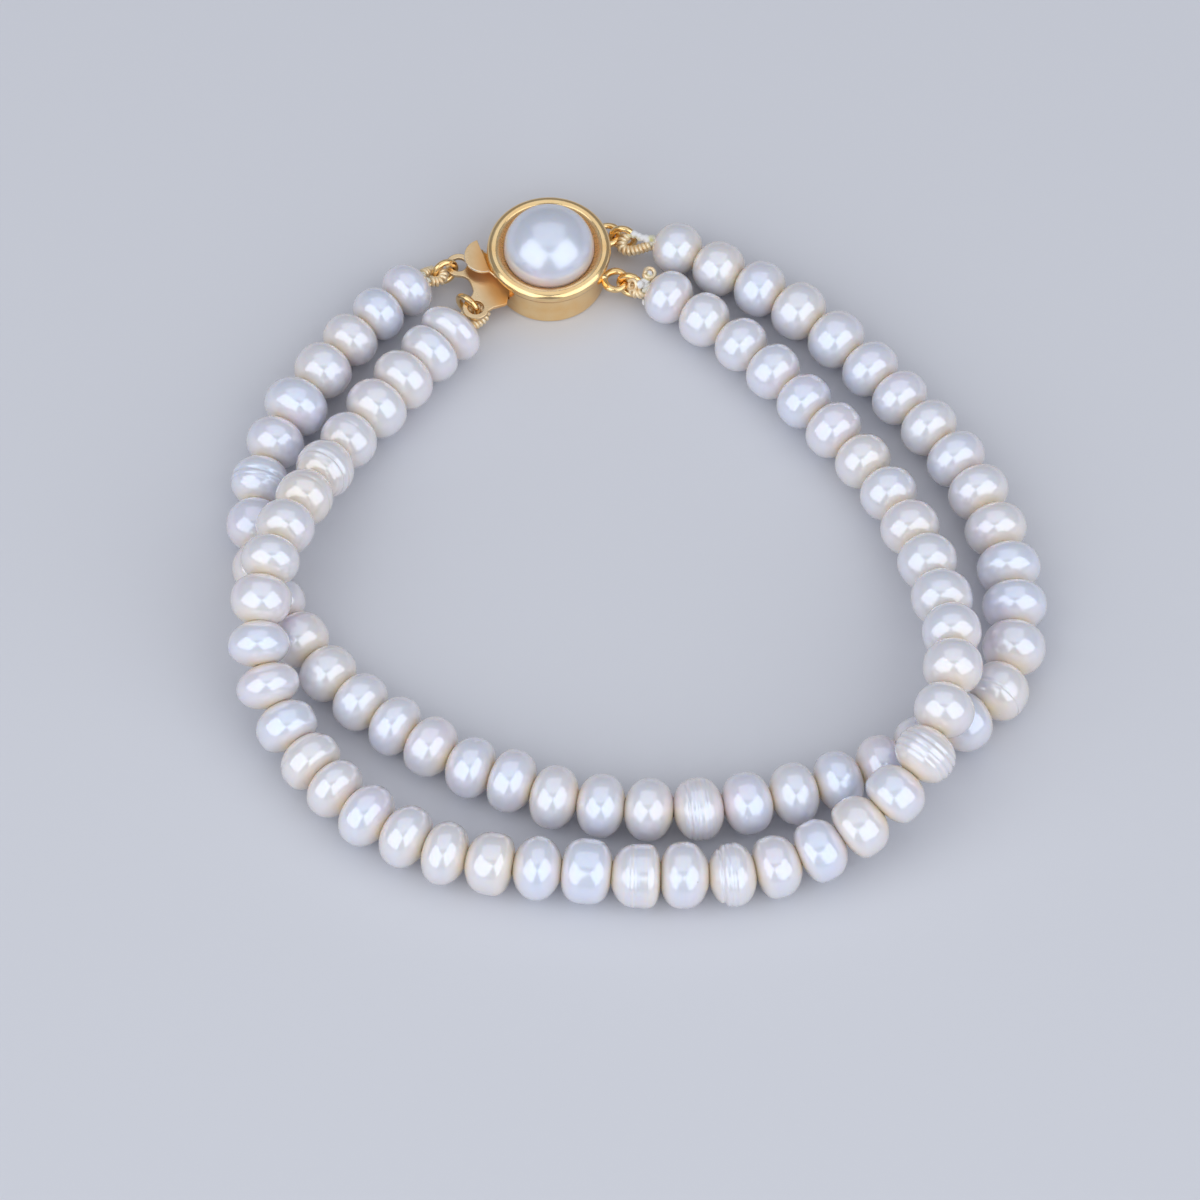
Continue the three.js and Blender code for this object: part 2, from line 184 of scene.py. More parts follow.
def tubePart(path, radius, sides=12, closed=False):
    # a round section carried along a path, open with closed ends or closed on itself
    tangent, first, second = carriedFrames(path)
    if closed:
        tangent = unit(np.roll(path, -1, axis=0) - np.roll(path, 1, axis=0))
        middle = path.mean(axis=0)
        second = unit(np.cross(tangent, path - middle))
        first = np.cross(second, tangent)
    width = np.broadcast_to(np.asarray(radius, dtype=float), (len(path),))[:, None, None]
    points = roundSections(path, width, first, second, sides)
    if closed:
        return points, gridFaces(len(path), sides, wrapRows=True), noTriangles
    return closedEnds(points, path[[0, -1]], sides)


def resample(path, count):
    # the same polyline with its points an equal length apart
    steps = np.linalg.norm(np.diff(path, axis=0), axis=1)
    length = np.concatenate([[0], np.cumsum(steps)])
    places = np.linspace(0, length[-1], count)
    return np.stack([np.interp(places, length, path[:, k]) for k in range(3)], axis=-1), length[-1]


def smoothRoute(points, share):
    # centripetal Catmull-Rom spline through points, at share of its parameter from 0 to 1
    points = np.asarray(points, dtype=float)
    spans = len(points) - 1
    place = spans * share
    span = min(int(place), spans - 1)
    w = place - span
    p1, p2 = points[span], points[span + 1]
    p0 = points[span - 1] if span else 2 * points[0] - points[1]
    p3 = points[span + 2] if span + 2 <= spans else 2 * points[-1] - points[-2]
    d0, d1, d2 = [math.sqrt(np.linalg.norm(b - a)) for a, b in ((p0, p1), (p1, p2), (p2, p3))]
    t1 = ((p1 - p0) / d0 - (p2 - p0) / (d0 + d1) + (p2 - p1) / d1) * d1
    t2 = ((p2 - p1) / d1 - (p3 - p1) / (d1 + d2) + (p3 - p2) / d2) * d1
    return (p1 + t1 * w + (3 * (p2 - p1) - 2 * t1 - t2) * w ** 2
            + (2 * (p1 - p2) + t1 + t2) * w ** 3)


# Shader expressions: a Signal wraps a socket, sums and products of signals add Math nodes
class Signal:
    def __init__(self, tree, socket=None):
        self.tree = tree
        self.socket = socket

    def math(self, operation, *others):
        return self.node("ShaderNodeMath", {"operation": operation}, dict(enumerate((self, *others))))

    def __add__(self, other):
        return self.math("ADD", other)

    def __mul__(self, other):
        return self.math("MULTIPLY", other)

    def __sub__(self, other):
        return self.math("SUBTRACT", other)

    def __rsub__(self, other):
        return self.node("ShaderNodeMath", {"operation": "SUBTRACT"}, {0: other, 1: self})

    def __pow__(self, other):
        return self.math("POWER", other)

    __radd__ = __add__
    __rmul__ = __mul__

    def node(self, kind, settings, sockets, output=0):
        added = self.tree.nodes.new(kind)
        for label, value in settings.items():
            if label == "stops":
                self.setStops(added.color_ramp, value)
            else:
                setattr(added, label, value)
        for label, value in sockets.items():
            if isinstance(value, Signal):
                self.tree.links.new(value.socket, added.inputs[label])
            else:
                added.inputs[label].default_value = value
        return Signal(self.tree, added.outputs[output])

    def setStops(self, ramp, stops):
        while len(ramp.elements) < len(stops):
            ramp.elements.new(0.5)
        for element, (place, colour) in zip(ramp.elements, stops):
            element.position = place
            element.color = colour

    def mix(self, low, high):
        return self.node("ShaderNodeMix", {"data_type": "RGBA", "clamp_factor": True},
                         {0: self, 6: low, 7: high}, output=2)

    def positive(self):
        return self.math("MAXIMUM", 0.0)

    def place(self):
        # where a point lies on its object
        return self.node("ShaderNodeTexCoord", {}, {}, output=3)

    def noise(self, scale, detail):
        return self.node("ShaderNodeTexNoise", {}, {"Vector": self, "Scale": scale, "Detail": detail})

    def bump(self, strength, distance):
        return self.node("ShaderNodeBump", {},
                         {"Strength": strength, "Distance": distance, "Height": self})


def startFinish(name):
    material = bpy.data.materials.new(name)
    material.use_nodes = True
    tree = material.node_tree
    tree.nodes.clear()
    return material, Signal(tree)


def endFinish(material, flow, sockets):
    shader = flow.node("ShaderNodeBsdfPrincipled", {}, sockets)
    output = material.node_tree.nodes.new("ShaderNodeOutputMaterial")
    material.node_tree.links.new(shader.socket, output.inputs["Surface"])
    return material


# Nacre: a cool white skin with a warm glow of light painted towards the drill holes, where the pearls
# touch, with a faint rose and green play, and growth lines and pits on the flawed pearls
# the hole colour is a painted warm glow of light, where the pearls touch
nacre = {"cool": (0.75, 0.79, 0.91, 1), "warm": (0.89, 0.81, 0.72, 1), "hole": (0.95, 0.86, 0.68, 1),
         "rose": (0.84, 0.77, 0.86, 1), "green": (0.76, 0.83, 0.90, 1), "pit": (0.42, 0.38, 0.34, 1),
         "metallic": 0.24, "roughness": 0.16, "sheen": 0.16, "sheenRoughness": 0.3,
         "sheenTint": (1.0, 0.84, 0.66, 1), "coat": 0.6, "coatRoughness": 0.07, "ior": 1.56,
         "film": 325.0, "filmIor": 1.40, "subsurface": 0.6, "reach": (1.0, 0.74, 0.52), "depth": 0.0015}


def nacreFinish(name, strandValues=True, cool=nacre["cool"], warm=nacre["warm"],
                roughness=nacre["roughness"], metallic=nacre["metallic"], coat=nacre["coat"]):
    material, flow = startFinish(name)
    place = flow.place()
    cloud, play, fine = place.noise(330.0, 3.0), place.noise(210.0, 1.0), place.noise(3100.0, 4.0)
    rose = ((play - 0.54) * 5.0).positive()
    green = ((0.46 - play) * 5.0).positive()
    if strandValues:
        tone, along, lines = [flow.node("ShaderNodeAttribute", {"attribute_name": label}, {}, output=2)
                              for label in ("tone", "along", "lines")]
        ends = along.math("ABSOLUTE")
        # painted light: the ends' share warms the skin towards the drill holes for light bounced between
        # touching pearls; tone and cloud are the pearls' own colour
        toneAndEndGlow = tone * 0.7 + (ends ** 3.0) * 0.9 + (cloud - 0.5) * 0.6 - 0.08
        across = flow.node("ShaderNodeCombineXYZ", {}, {0: along * 11.0, 1: tone * 60.0})
        ridges = flow.node("ShaderNodeTexNoise", {"noise_dimensions": "2D"},
                           {"Vector": across, "Scale": 1.0, "Detail": 3.0})
        # painted light: a warm glow painted right at the drill holes, where the pearls touch
        hole = ((ends - 0.88) * 8.0).positive()
        cells = flow.node("ShaderNodeTexVoronoi", {}, {"Vector": place, "Scale": 420.0})
        pit = ((0.05 - cells) * 40.0).positive() * (lines - 0.3).positive()
        skin = toneAndEndGlow.mix(cool, warm)
        skin = ((ridges - 0.5) * lines * 1.6).mix(skin, warm)
        colour = hole.mix(pit.mix(skin, nacre["pit"]), nacre["hole"])
        relief = fine * 0.10 + cloud * 0.22 + ridges * lines * 0.9 - pit * 0.8
    else:
        colour = ((cloud - 0.5) * 0.5 + 0.15).mix(cool, warm)
        relief = fine * 0.06 + cloud * 0.08
    colour = (green * 0.2).mix((rose * 0.5).mix(colour, nacre["rose"]), nacre["green"])
    return endFinish(material, flow, {
        "Base Color": colour, "Roughness": fine * 0.06 + (roughness - 0.03), "IOR": nacre["ior"],
        "Metallic": metallic, "Sheen Weight": nacre["sheen"],
        "Sheen Roughness": nacre["sheenRoughness"], "Sheen Tint": nacre["sheenTint"],
        "Subsurface Weight": nacre["subsurface"],
        "Subsurface Radius": nacre["reach"], "Subsurface Scale": nacre["depth"],
        "Coat Weight": coat, "Coat Roughness": nacre["coatRoughness"],
        "Thin Film Thickness": nacre["film"], "Thin Film IOR": nacre["filmIor"],
        "Normal": relief.bump(0.25, 0.00008)})


# Gold plating: polished, with hair scratches, and on the case and tongue a round zone painted orange for
# light bounced between the gold surfaces
plating = {"bright": (1.0, 0.74, 0.38, 1), "deep": (0.94, 0.54, 0.19, 1), "paintedGlowZone": (1.0, 0.60, 0.25, 1),
           "roughness": 0.13}


def goldFinish(name, roughness=plating["roughness"], paintedGlowZone=None, bright=plating["bright"],
               deep=plating["deep"], scratch=1.0, paintedGlowColour=plating["paintedGlowZone"]):
    # the zone: a round zone painted orange for light bounced between the gold surfaces, given as its middle,
    # inner and outer radius and lowest height
    material, flow = startFinish(name)
    place = flow.place()
    cloud = place.noise(700.0, 4.0)
    stretched = flow.node("ShaderNodeMapping", {}, {"Vector": place, "Scale": (900.0, 9000.0, 2500.0)})
    hair = stretched.noise(1.0, 2.0)
    bump = (hair * (0.5 * scratch) + cloud * 1.2).bump(0.1, 0.00004)
    colour = ((cloud - 0.5) * 1.4 + 0.2).mix(bright, deep)
    rough = hair * (0.1 * scratch) + (roughness - 0.05 * scratch)
    metal = 1.0
    if paintedGlowZone:
        middle, inner, outer, lowest = paintedGlowZone
        flat = flow.node("ShaderNodeVectorMath", {"operation": "MULTIPLY_ADD"},
                         {0: place, 1: (1, 1, 0), 2: (-middle[0] * mm, -middle[1] * mm, 0)})
        radius = flow.node("ShaderNodeVectorMath", {"operation": "LENGTH"}, {0: flat}, output=1)
        mask = flow.node("ShaderNodeMapRange", {"interpolation_type": "SMOOTHSTEP"},
                         {0: radius, 1: inner * mm, 2: outer * mm, 3: 1.0, 4: 0.0})
        high = flow.node("ShaderNodeSeparateXYZ", {}, {0: place}, output=2)
        mask = mask * high.math("GREATER_THAN", lowest * mm)
        # painted light: the zone's orange, less metallic and rougher, stands in for light bounced between
        # the gold surfaces
        colour = (mask * 0.9).mix(colour, paintedGlowColour)
        rough = rough + mask * 0.12
        metal = 1 - mask * 0.45
    return endFinish(material, flow, {
        "Base Color": colour, "Metallic": metal, "Roughness": rough, "Normal": bump})


def bullionFinish():
    material, flow = startFinish("bullionWire")
    place = flow.place()
    cloud = place.noise(1500.0, 3.0)
    return endFinish(material, flow, {
        "Base Color": ((cloud - 0.4) * 2.2).mix((1.0, 0.85, 0.60, 1), (0.90, 0.60, 0.29, 1)),
        "Metallic": 0.6, "Roughness": cloud * 0.2 + 0.26, "Normal": cloud.bump(0.3, 0.00003)})


def threadFinish():
    # silk and the clear glue on its knots, with fibres across the strand
    material, flow = startFinish("silkThread")
    place = flow.place()
    fibre = place.noise(9000.0, 2.0)
    return endFinish(material, flow, {
        "Base Color": fibre.mix((0.86, 0.85, 0.78, 1), (0.74, 0.70, 0.55, 1)),
        "Roughness": fibre * 0.3 + 0.3, "Coat Weight": 0.3, "Coat Roughness": 0.2,
        "Normal": fibre.bump(0.4, 0.00004)})


def gluedFinish():
    # clear glue soaked into white thread: glossy, with yellow-green glints of light painted here and there
    material, flow = startFinish("gluedSilk")
    place = flow.place()
    cloud, fibre = place.noise(1300.0, 3.0), place.noise(7000.0, 2.0)
    # painted highlight: yellow-green glints mixed into the colour
    paintedGlint = ((cloud - 0.5) * 5.0).positive()
    return endFinish(material, flow, {
        "Base Color": paintedGlint.mix((0.88, 0.87, 0.88, 1), (0.82, 0.78, 0.36, 1)),
        "Roughness": fibre * 0.2 + 0.3, "Coat Weight": 0.35, "Coat Roughness": 0.15,
        "Normal": (cloud + fibre * 0.2).bump(0.35, 0.00005)})


pearlSkin = nacreFinish("pearlNacre")
halfPearlSkin = nacreFinish("halfPearlNacre", strandValues=False, cool=(0.72, 0.76, 0.86, 1),
                            warm=(0.79, 0.78, 0.84, 1), roughness=0.25, metallic=0.38, coat=0.4)
# the case's zone is the slope between bead and half pearl, painted orange for bounced light
caseGold = goldFinish("caseGold", roughness=0.16, bright=(1.0, 0.74, 0.39, 1), deep=(0.98, 0.57, 0.21, 1),
                      paintedGlowZone=(claspMiddle, 4.45, 4.70, 3.6))
# the tongue's zone by the box is painted a darker orange, for shade and light bounced off the case
tongueGold = goldFinish("tongueGold", roughness=0.27, bright=(0.88, 0.67, 0.41, 1),
                        deep=(0.70, 0.46, 0.22, 1), scratch=0.2, paintedGlowZone=(claspMiddle, 5.4, 7.6, 0.0),
                        paintedGlowColour=(0.84, 0.42, 0.12, 1))
# painted shade: the leaf is the tab's own gold, made a deeper orange for the shade and reflected light on
# its upright face
leafGoldPaintedShade = goldFinish("leafGoldPaintedShade", roughness=0.24, bright=(1.0, 0.56, 0.20, 1), deep=(0.85, 0.42, 0.12, 1),
                      scratch=0.2)
cutGold = goldFinish("cutEdge", roughness=0.28, bright=(0.97, 0.93, 0.87, 1), deep=(0.92, 0.82, 0.68, 1))
ringGold = goldFinish("ringGold", roughness=0.17)
bullionGold = bullionFinish()
silk = threadFinish()
gluedSilk = gluedFinish()
print("finishes made")


# The strands. Each row is one pearl: x, y, lift, diameter, and the pearls from it to the next row.
overStrand = {
    "rows": [(-13.5, 26.4, 0.0, 5.0, 2), (-17.6, 21.4, 0.0, 5.2, 2), (-22.4, 14.8, 0.5, 5.2, 2),
             (-26.1, 6.9, 3.4, 5.2, 2), (-28.9, -0.8, 5.3, 5.2, 2), (-29.8, -8.4, 3.5, 5.3, 2),
             (-27.4, -14.9, 0.7, 5.5, 3), (-20.3, -23.6, 0.0, 5.6, 3), (-9.6, -28.4, 0.0, 5.6, 3),
             (3.1, -29.7, 0.0, 5.7, 3), (15.3, -28.7, 0.0, 5.5, 2), (22.6, -25.6, 1.8, 5.4, 2),
             (28.1, -20.2, 4.7, 5.3, 2), (30.7, -11.6, 5.2, 5.3, 2), (30.0, -3.0, 2.6, 5.4, 3),
             (25.6, 9.4, 0.2, 5.2, 3), (18.3, 19.2, 0.0, 5.2, 2), (12.7, 25.3, 0.0, 5.1, 2),
             (6.2, 30.5, 0.0, 4.8, 0)],
    "seed": 11,
    "special": {
        1: {"wide": 1.18, "lean": 6, "long": 1.15, "aside": 0.1},
        2: {"slide": -0.45, "wide": 1.12, "long": 1.12}, 3: {"wide": 1.11, "long": 1.1},
        4: {"slide": -0.2, "wide": 1.10, "long": 1.06},
        5: {"grooves": [(0.1, 0.05, 0.008)], "lines": 0.4},
        6: {"grooves": [(0.34, 0.06, 0.06), (0.56, 0.07, 0.035), (0.08, 0.05, 0.012)],
            "lines": 1.0, "tone": 0.7},
        7: {"grooves": [(0.05, 0.08, 0.02)], "lines": 0.4},
        8: {"grooves": [(-0.5, 0.04, 0.012)]},
        10: {"slide": -0.25, "long": 1.12, "wide": 1.02}, 11: {"wide": 1.03, "endA": 2.1, "endB": 2.1},
        12: {"wide": 1.04, "endA": 2.1, "endB": 2.1},
        13: {"endA": 2.0, "endB": 3.4},
        14: {"slide": 0.4, "endA": 2.0, "endB": 3.6, "grooves": [(-0.4, 0.1, 0.02)]},
        17: {"slide": 0.35}, 18: {"endA": 2.2, "endB": 2.2, "aside": -0.2},
        19: {"endA": 2.1, "endB": 4.0}, 20: {"endA": 2.0, "endB": 2.0, "aside": 0.3},
        21: {"endA": 3.0, "endB": 3.0, "round": 2.7, "tone": 0.0, "aside": 0.35},
        22: {"endA": 2.1, "endB": 6.0, "round": 2.1, "lines": 1.7,
             "grooves": [(0.10, 0.06, 0.075), (0.30, 0.035, 0.03), (0.0, 0.03, 0.02), (-0.2, 0.04, 0.012)]},
        23: {"endA": 3.0, "endB": 2.1, "round": 2.1, "wide": 1.03, "lines": 0.6},
        24: {"grooves": [(-0.48, 0.07, 0.07), (-0.2, 0.05, 0.02), (0.0, 0.04, 0.012)],
             "lines": 1.1, "aside": -0.2},
        25: {"endA": 3.6, "endB": 2.0}, 26: {"endA": 4.2, "endB": 2.0}, 27: {"endA": 4.4, "endB": 2.0},
        28: {"endA": 3.8, "endB": 2.1},
        29: {"grooves": [(-0.35, 0.07, 0.04), (-0.05, 0.06, 0.035), (0.25, 0.07, 0.045), (0.5, 0.05, 0.02)],
             "lines": 1.4, "lean": -9, "wide": 1.06},
        30: {"endA": 2.1, "endB": 2.1, "wide": 1.02}, 34: {"slide": 0.3},
        40: {"lumps": 0.02, "lines": 0.5}, 42: {"slide": 0.2},
    },
}
underStrand = {
    "rows": [(-17.4, 31.3, 0.0, 4.9, 2), (-22.4, 25.9, 0.0, 5.1, 2), (-27.2, 18.4, 0.0, 5.6, 2),
             (-30.2, 10.7, 0.0, 5.2, 2), (-29.9, 1.7, 0.0, 5.2, 3), (-23.8, -9.2, 0.0, 5.2, 3),
             (-14.9, -16.6, 0.0, 5.4, 3), (-4.0, -21.8, 0.0, 5.5, 3), (8.6, -23.0, 0.0, 5.6, 3),
             (20.7, -20.2, 0.0, 5.5, 2), (27.9, -16.6, 0.0, 5.3, 2), (34.9, -11.0, 0.0, 5.4, 2),
             (36.5, -2.3, 0.0, 5.7, 3), (33.6, 9.5, 0.0, 5.5, 3), (26.8, 19.6, 0.0, 5.2, 3),
             (17.8, 28.9, 0.0, 5.3, 3), (7.0, 35.8, 0.0, 4.8, 0)],
    "seed": 23,
    "special": {
        4: {"slide": -0.3}, 5: {"wide": 1.03, "tone": 0.15}, 6: {"slide": -0.2, "blister": (0.05, 28, 0.03)},
        7: {"grooves": [(0.05, 0.08, 0.055), (0.30, 0.05, 0.02)], "lines": 1.0}, 11: {"slide": -0.2},
        13: {"slide": 0.25}, 14: {"slide": 0.3, "endA": 2.2, "endB": 2.2}, 16: {"slide": 0.4},
        17: {"endA": 3.0, "endB": 2.2, "aside": 0.3, "wide": 1.03}, 20: {"slide": -0.2},
        21: {"grooves": [(-0.42, 0.05, 0.045), (-0.22, 0.04, 0.02), (-0.02, 0.05, 0.025), (0.3, 0.05, 0.01)],
             "lines": 1.3},
        22: {"lean": 6}, 26: {"lumps": 0.022, "lines": 0.6},
        28: {"endA": 3.0, "endB": 2.2, "tone": 0.75, "grooves": [(-0.36, 0.05, 0.035)], "lines": 0.6},
        29: {"slide": 0.4}, 37: {"slide": -0.35}, 38: {"slide": -0.35}, 40: {"slide": -0.15},
    },
}
pearlForm = {"sides": 52, "rings": 26, "ringedRings": 90, "end": 2.2, "round": 2.04, "hole": 0.34,
             "holeDepth": 0.8, "holeLip": 0.05, "rest": 0.04, "gap": -0.07, "thread": 0.2,
             "leanSpread": 1.8, "tiltSpread": 1.2, "sizeSpread": 0.006, "oval": 0.018, "lumps": 0.006,
             "blisterLong": 0.18, "blisterRound": 0.22}


def layPearls(strand):
    # pearls spread evenly between the rows along the spline, then slid along and across as listed
    rows = strand["rows"]
    route = [(x, y, lift) for x, y, lift, diameter, count in rows]
    middles, diameters = [], []
    for index, (x, y, lift, diameter, count) in enumerate(rows):
        following = rows[min(index + 1, len(rows) - 1)]
        for step in range(max(count, 1)):
            share = step / max(count, 1)
            size = diameter + (following[3] - diameter) * share
            place = smoothRoute(route, (index + share) / (len(rows) - 1))
            middles.append([place[0], place[1], size / 2 + max(place[2], 0.0) + pearlForm["rest"]])
            diameters.append(size)
    middles = np.array(middles) + shift
    tangents = unit(np.gradient(middles, axis=0))
    for number, special in strand["special"].items():
        across = unit(np.cross(up, tangents[number - 1]))
        middles[number - 1] += (tangents[number - 1] * special.get("slide", 0.0)
                                + across * special.get("aside", 0.0))
    return middles, np.array(diameters)


def pearlPart(middle, before, after, radius, special, random):
    # superellipse |x/a|^p + |r/R|^q = 1 turned about the drill hole, with its ends pressed to a
    # and b, Gaussian grooves round it, an oval and a few low cosine lumps, and a drilled hole
    form = pearlForm
    direction = unit(unit(before) + unit(after))
    side = unit(np.cross(up, direction))
    lean = special.get("lean", 0.0) + random.normal(0, form["leanSpread"])
    direction = turnAbout(direction, up, lean)
    direction = turnAbout(direction, side, random.normal(0, form["tiltSpread"]))
    side = unit(np.cross(up, direction))
    top = np.cross(direction, side)
    longer = special.get("long", 1.0)
    halfBefore, halfAfter = [(np.linalg.norm(step) / 2 - form["gap"]) * longer for step in (before, after)]
    endBefore = special.get("endA", form["end"] + random.uniform(-0.1, 0.3))
    endAfter = special.get("endB", form["end"] + random.uniform(-0.1, 0.3))
    roundness = special.get("round", form["round"] + random.uniform(-0.04, 0.1))
    holeShare = form["hole"] / radius
    firstAngle = math.asin(holeShare ** (roundness / 2))
    rings = form["ringedRings" if special.get("grooves") else "rings"]
    turn = np.linspace(firstAngle, math.pi - firstAngle, rings)
    cosine = -np.cos(turn)
    power = np.where(cosine < 0, 2 / endBefore, 2 / endAfter)
    x = np.sign(cosine) * np.abs(cosine) ** power
    r = np.sin(turn) ** (2 / roundness)
    for place, width, depth in special.get("grooves", ()):
        r = r * (1 - depth * np.exp(-((x - place) / width) ** 2))
    along = np.where(x < 0, x * halfBefore, x * halfAfter)
    inward = np.array([form["holeDepth"], form["holeLip"]])
    along = np.concatenate([along[0] + inward, along, along[-1] - inward[::-1]])
    hole = holeShare * 0.94
    r = np.concatenate([[hole, hole], r, [hole, hole]])
    share = np.concatenate([[-1, -1], x, [1, 1]])
    angle = np.linspace(0, 2 * np.pi, form["sides"], endpoint=False)
    oval = random.uniform(0, form["oval"])
    lumps = special.get("lumps", form["lumps"])
    swell = 1 + oval * np.cos(2 * (angle - random.uniform(0, np.pi)))
    waves = sum(lumps * math.exp(-0.3 * k) * np.cos(k * angle[None, :] + random.uniform(0, 2 * np.pi)
                                                    + random.uniform(-2.5, 2.5) * share[:, None])
                for k in (1, 2, 3, 5))
    waves = waves * np.sqrt(np.clip(1 - share ** 2, 0, 1))[:, None]
    if "blister" in special:
        place, degrees, height = special["blister"]
        apart = np.angle(np.exp(1j * (angle - math.radians(degrees))))
        waves = waves + height * np.exp(-((share[:, None] - place) / form["blisterLong"]) ** 2
                                        - (apart[None, :] / form["blisterRound"]) ** 2)
    width = radius * special.get("wide", 1.0) * r[:, None] * (swell[None, :] + waves)
    spokes = np.cos(angle)[:, None] * top + np.sin(angle)[:, None] * side
    points = (middle + along[:, None, None] * direction + width[..., None] * spokes).reshape(-1, 3)
    points[:, 2] += max(0.0, -points[:, 2].min())
    poles = np.stack([points[:form["sides"]].mean(axis=0), points[-form["sides"]:].mean(axis=0)])
    alongShare = np.concatenate([np.repeat(share, form["sides"]), [-1, 1]])
    return closedEnds(points, poles, form["sides"]), alongShare


def strandPieces(name, strand, node):
    middles, diameters = layPearls(strand)
    gaps = np.diff(middles, axis=0)
    gaps = np.vstack([gaps, gaps[-1]])
    random = np.random.default_rng(strand["seed"])
    parts, alongs, tones, lines = [], [], [], []
    for index, middle in enumerate(middles):
        special = strand["special"].get(index + 1, {})
        before = gaps[max(index - 1, 0)]
        size = diameters[index] / 2 * random.normal(1.0, pearlForm["sizeSpread"])
        part, along = pearlPart(middle, before, gaps[index], size, special, random)
        tone = special.get("tone", float(np.clip(random.normal(0.42, 0.2), 0, 1)))
        parts.append(part)
        alongs.append(along)
        tones.append(np.full(len(along), tone))
        lines.append(np.full(len(along), special.get("lines", 0.12)))
    addPiece(name + "Pearls", joinParts(parts), pearlSkin, replaced=(node,), values={
        "along": np.concatenate(alongs), "tone": np.concatenate(tones), "lines": np.concatenate(lines)})
    ends = [middles[0] - gaps[0] * 0.62, *middles, middles[-1] + gaps[-1] * 0.62]
    path, length = resample(np.array(ends), 6 * len(middles))
    addPiece(name + "Thread", tubePart(path, pearlForm["thread"], sides=8), silk)
    print(name, "strand", len(middles), "pearls, thread", round(length, 1), "mm")
    return middles


overMiddles = strandPieces("over", overStrand, "pearls_over")
underMiddles = strandPieces("under", underStrand, "pearls_under")


# The clasp's case: a turned box with a rolled rim and a bezel, cut for the tongue's slot
caseForm = {"corner": 0.22, "rimLow": 3.12, "beadSize": 0.60, "beadRadius": 5.0, "beadHeight": 4.13,
            "slopeFoot": 4.16, "slopeFootHeight": 4.08, "slotHalf": 2.3, "slotLow": 1.42,
            "slotIn": 3.5, "slotOut": 7.0, "tongueTurn": 198.7}


def arc(centreRadius, centreHeight, size, startDegrees, endDegrees, count):
    # points of a round stretch of a half section
    angle = np.radians(np.linspace(startDegrees, endDegrees, count))
    return np.stack([centreRadius + size * np.cos(angle), centreHeight + size * np.sin(angle)], axis=-1)


def caseSection():
    # floor, wall, a flared lip, a round bead, and a slope down to the half pearl's foot
    box, form = clasp["boxRadius"], caseForm
    bead = arc(form["beadRadius"], form["beadHeight"], form["beadSize"], -40, 146, 30)
    share = np.linspace(0.12, 1, 8)[:, None]
    foot = np.array([form["slopeFoot"], form["slopeFootHeight"]])
    slope = bead[-1] + (foot - bead[-1]) * share + np.array([0.0, -0.05]) * np.sin(share * np.pi)
    return np.vstack([
        [[0, 0], [1.5, 0], [3.5, 0]],
        arc(box - form["corner"], form["corner"], form["corner"], -90, 0, 7),
        [[box, 1.2], [box, 2.2], [box, form["rimLow"] - 0.12], [box + 0.02, form["rimLow"]],
         [box + 0.10, 3.25], [box + 0.22, 3.42], [box + 0.31, 3.56]],
        bead, slope,
        [[form["slopeFoot"] - 0.03, 3.9], [form["slopeFoot"] - 0.03, clasp["seatHeight"]],
         [2.0, clasp["seatHeight"]], [0, clasp["seatHeight"]]],
    ])


def finishedMesh(thing):
    # what an object looks like with its curve filled or its modifiers applied
    graph = bpy.context.evaluated_depsgraph_get()
    return bpy.data.meshes.new_from_object(thing.evaluated_get(graph), depsgraph=graph)


def cutAway(target, cutter):
    # exact Boolean difference, applied, and the cutter removed
    modifier = target.modifiers.new("cut", "BOOLEAN")
    modifier.operation = "DIFFERENCE"
    modifier.object = cutter
    modifier.solver = "EXACT"
    finished = finishedMesh(target)
    target.modifiers.clear()
    target.data = finished
    bpy.data.objects.remove(cutter)


def smoothBelow(target, degrees):
    # smooth faces, with an edge kept sharp where its faces meet at more than degrees
    smoothAll(target)
    target.data.set_sharp_from_angle(angle=math.radians(degrees))


def blockPart(low, high, turnDegrees, middle):
    # eight corners between low and high, turned about +Z
    x, y, z = [axis.ravel() for axis in np.meshgrid(*zip(low, high), indexing="ij")]
    angle = math.radians(turnDegrees)
    turned = np.stack([x * math.cos(angle) - y * math.sin(angle),
                       x * math.sin(angle) + y * math.cos(angle), z], axis=-1)
    quads = np.array([[0, 1, 3, 2], [4, 6, 7, 5], [0, 4, 5, 1], [2, 3, 7, 6], [0, 2, 6, 4], [1, 5, 7, 3]])
    return turned + middle, quads, noTriangles


def ringPath(middle, outward, upward, radius, count=56):
    # a circle in the plane of two square directions
    angle = np.linspace(0, 2 * np.pi, count, endpoint=False)[:, None]
    return middle + radius * (np.cos(angle) * outward + np.sin(angle) * upward)


def loopMiddles():
    places = []
    for side in (1, -1):
        outward = level(clasp["loopTurn"] + side * clasp["loopSpread"])
        places.append((claspMiddle + outward * clasp["loopDistance"] + up * clasp["loopHeight"], outward))
    return places


